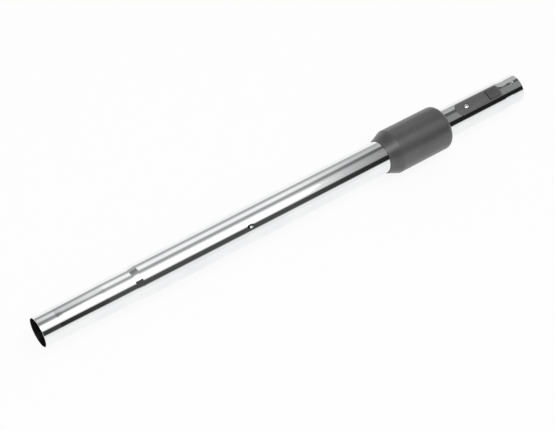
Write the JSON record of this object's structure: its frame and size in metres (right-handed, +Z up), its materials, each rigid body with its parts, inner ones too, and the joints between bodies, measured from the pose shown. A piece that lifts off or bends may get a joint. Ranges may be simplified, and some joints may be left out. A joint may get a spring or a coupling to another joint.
{
  "type": "telescopic vacuum wand",
  "caption": "Straight chromed two-tube suction wand, collapsed, with a tapered lower spigot, a dark grip sleeve that releases the length lock, and a latch plate with a button near the upper tip.",
  "frame": {"origin": "centre of the open lower tip, on the axis of the tubes", "axes": "+X along the tubes towards the upper tip, +Z up through the latch button, the lock underneath"},
  "size_m": [0.63, 0.0516, 0.0516],
  "materials": {
    "chrome_outer": "polished chrome plate",
    "chrome_inner": "polished chrome plate",
    "sleeve_plastic": "fine moulded satin",
    "latch_plastic": "fine moulded satin",
    "button_plastic": "fine moulded satin",
    "rivet_steel": "bright steel",
    "bush_plastic": "natural moulded",
    "seal_rubber": "soft",
    "plain_steel": "zinc plated",
    "spring_steel": "drawn and tempered"
  },
  "bodies": {
    "outer": {"outer_tube": "chrome_outer", "guide_bush": "bush_plastic", "bush_rivets": "rivet_steel", "wiper_seal": "seal_rubber", "seal_washer": "plain_steel", "return_spring": "spring_steel", "pawl_pin": "plain_steel", "pawl_spring": "spring_steel"},
    "sleeve": {"sleeve_shell": "sleeve_plastic", "sleeve_nose": "sleeve_plastic", "release_cam": "plain_steel"},
    "pawl": {"lock_pawl": "plain_steel"},
    "inner": {"inner_tube": "chrome_inner", "guide_shell_top": "bush_plastic", "guide_shell_base": "bush_plastic", "latch_plate": "latch_plastic", "latch_rivet": "rivet_steel", "latch_spring": "spring_steel"},
    "button": {"latch_button": "button_plastic"}
  },
  "joints": [
    {"name": "tube_slide", "type": "slide", "parent": "outer", "child": "inner", "axis": [1, 0, 0], "range_m": [0, 0.312]},
    {"name": "sleeve_slide", "type": "slide", "parent": "outer", "child": "sleeve", "axis": [-1, 0, 0], "range_m": [0, 0.008], "stiffness_N_per_m": 900, "deforming": ["return_spring"]},
    {"name": "pawl_rock", "type": "hinge", "parent": "outer", "child": "pawl", "pos_m": [0.472, 0, -0.0196], "axis": [0, -1, 0], "range_deg": [0, 7.5], "stiffness_Nm_per_rad": 0.1, "deforming": ["pawl_spring"]},
    {"name": "latch_press", "type": "slide", "parent": "inner", "child": "button", "axis": [0, 0, -1], "range_m": [0, 0.002], "stiffness_N_per_m": 1500, "deforming": ["latch_spring"]}
  ],
  "couplings": [
    {"joint": "pawl_rock", "follows": "sleeve_slide", "rad_per_m": 16.36}
  ]
}
